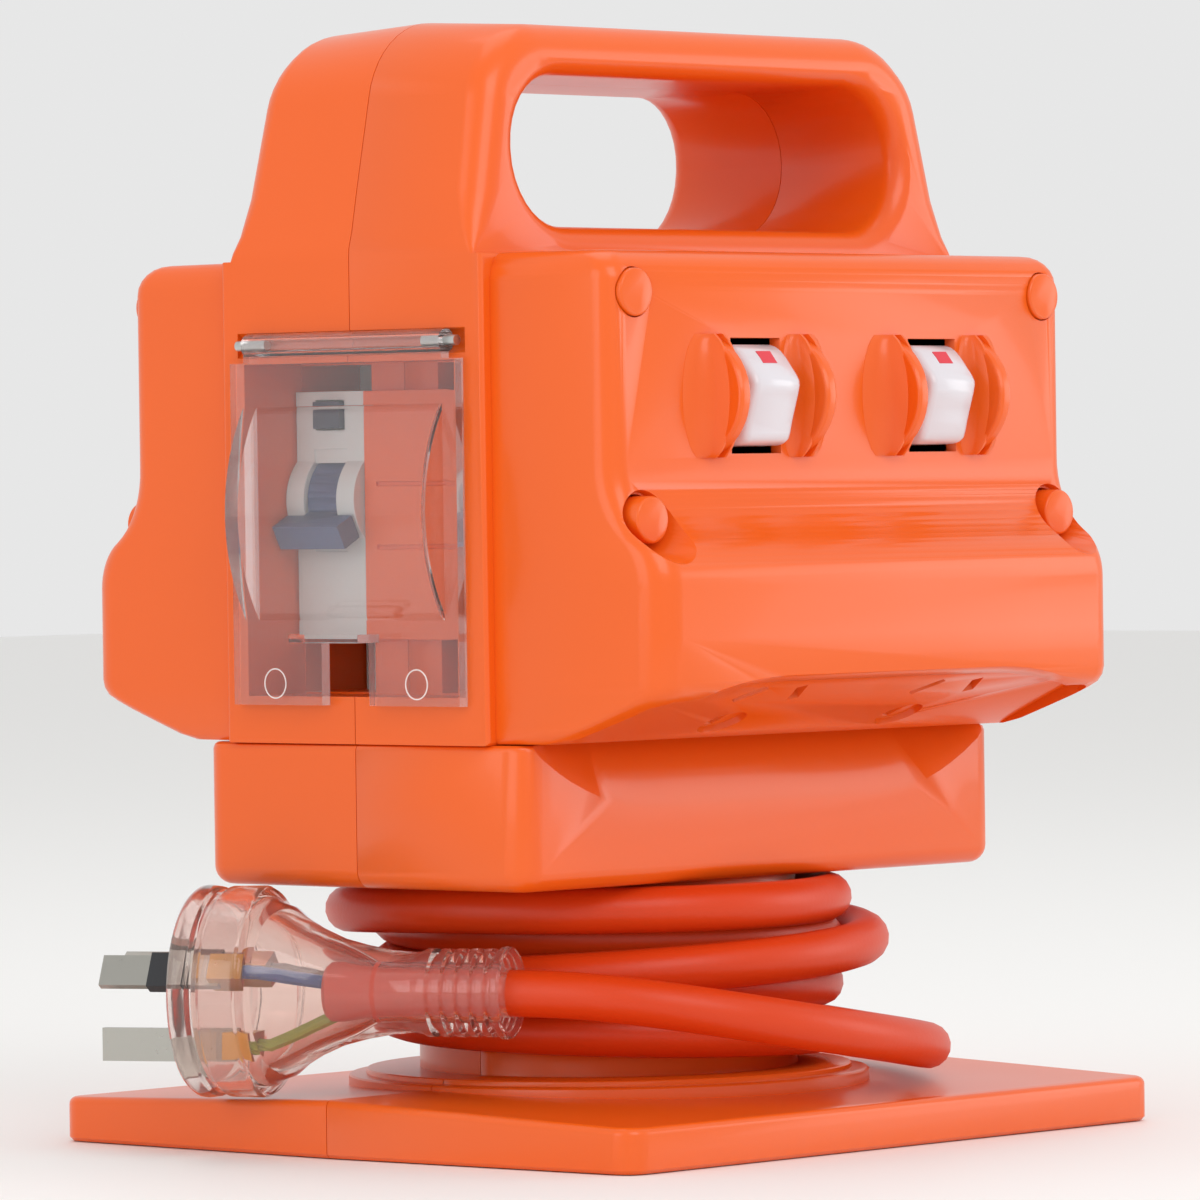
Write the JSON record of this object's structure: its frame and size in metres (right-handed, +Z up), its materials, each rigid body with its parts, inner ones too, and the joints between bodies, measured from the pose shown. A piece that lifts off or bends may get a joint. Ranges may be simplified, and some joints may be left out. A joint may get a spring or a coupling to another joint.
{
  "type": "portable power outlet block",
  "caption": "Orange moulded power outlet block with a grip handle, rocker switches over slanted outlets on both sides, a breaker under a clear lid and a cord wound on its spool base.",
  "frame": {"origin": "middle of the base plate's underside", "axes": "+Z up, X along the outlet faces with the breaker lid on the -X end, -Y towards the front outlet cover"},
  "size_m": [0.1817, 0.15, 0.2155],
  "materials": {
    "orange_shell": "moulded, fine satin gloss",
    "steel": "zinc plated",
    "rocker_white": "glossy",
    "dark_moulding": "moulded",
    "carrier_white": "moulded",
    "brass": "stamped",
    "breaker_grey": "fine satin",
    "toggle_blue": "satin",
    "clear_lid": "clear polycarbonate",
    "clear_plug": "clear PVC",
    "plated_pin": "nickel plated brass",
    "cord_orange": "satin PVC sheath",
    "wire_brown": "PVC",
    "wire_blue": "PVC",
    "wire_green": "PVC with a yellow stripe"
  },
  "bodies": {
    "housing": {"front_handle": "orange_shell", "rear_handle": "orange_shell", "front_shell": "orange_shell", "rear_shell": "orange_shell", "front_spool": "orange_shell", "rear_spool": "orange_shell", "shell_screws": "steel", "front_cover": "orange_shell", "rear_cover": "orange_shell", "front_cover_screws": "steel", "rear_cover_screws": "steel", "front_screw_caps": "orange_shell", "rear_screw_caps": "orange_shell", "switch_case_front_left": "dark_moulding", "switch_case_front_right": "dark_moulding", "switch_case_rear_left": "dark_moulding", "switch_case_rear_right": "dark_moulding", "front_socket_carrier": "carrier_white", "rear_socket_carrier": "carrier_white", "front_contacts": "brass", "rear_contacts": "brass", "breaker_case": "breaker_grey", "breaker_terminals": "brass", "din_rail": "steel", "blanking_plate": "orange_shell", "lid_hinge_pin": "steel", "cord_gland": "dark_moulding", "cord_clamp": "dark_moulding", "earth_bar": "brass", "wire_brown": "wire_brown", "wire_blue": "wire_blue", "wire_green": "wire_green", "cord_entry": "cord_orange", "cord_coil": "cord_orange", "cord_tail": "cord_orange", "plug_body": "clear_plug", "plug_pin_active": "plated_pin", "plug_pin_neutral": "plated_pin", "plug_pin_earth": "plated_pin", "plug_sleeve_active": "dark_moulding", "plug_sleeve_neutral": "dark_moulding", "plug_wire_brown": "wire_brown", "plug_wire_blue": "wire_blue", "plug_wire_green": "wire_green", "plug_terminals": "brass"},
    "rocker_front_left_body": {"rocker_front_left": "rocker_white"},
    "rocker_front_right_body": {"rocker_front_right": "rocker_white"},
    "rocker_rear_left_body": {"rocker_rear_left": "rocker_white"},
    "rocker_rear_right_body": {"rocker_rear_right": "rocker_white"},
    "toggle_body": {"breaker_toggle": "toggle_blue"},
    "test_button_body": {"breaker_test_button": "dark_moulding"},
    "lid_body": {"window_lid": "clear_lid"}
  },
  "joints": [
    {"name": "rocker_front_left_press", "type": "hinge", "parent": "housing", "child": "rocker_front_left_body", "pos_m": [-0.026, -0.0583, 0.143], "axis": [-1, 0, 0], "range_deg": [0, 20]},
    {"name": "rocker_front_right_press", "type": "hinge", "parent": "housing", "child": "rocker_front_right_body", "pos_m": [0.026, -0.0583, 0.143], "axis": [-1, 0, 0], "range_deg": [0, 20]},
    {"name": "rocker_rear_left_press", "type": "hinge", "parent": "housing", "child": "rocker_rear_left_body", "pos_m": [0.026, 0.0583, 0.143], "axis": [1, 0, 0], "range_deg": [0, 20]},
    {"name": "rocker_rear_right_press", "type": "hinge", "parent": "housing", "child": "rocker_rear_right_body", "pos_m": [-0.026, 0.0583, 0.143], "axis": [1, 0, 0], "range_deg": [0, 20]},
    {"name": "breaker_toggle_throw", "type": "hinge", "parent": "housing", "child": "toggle_body", "pos_m": [-0.05, 0.018, 0.1243], "axis": [0, 1, 0], "range_deg": [0, 52]},
    {"name": "test_button_press", "type": "slide", "parent": "housing", "child": "test_button_body", "axis": [1, 0, 0], "range_m": [0, 0.0012], "stiffness_N_per_m": 300},
    {"name": "lid_hinge", "type": "hinge", "parent": "housing", "child": "lid_body", "pos_m": [-0.0716, 0, 0.1541], "axis": [0, 1, 0], "range_deg": [0, 110]}
  ]
}
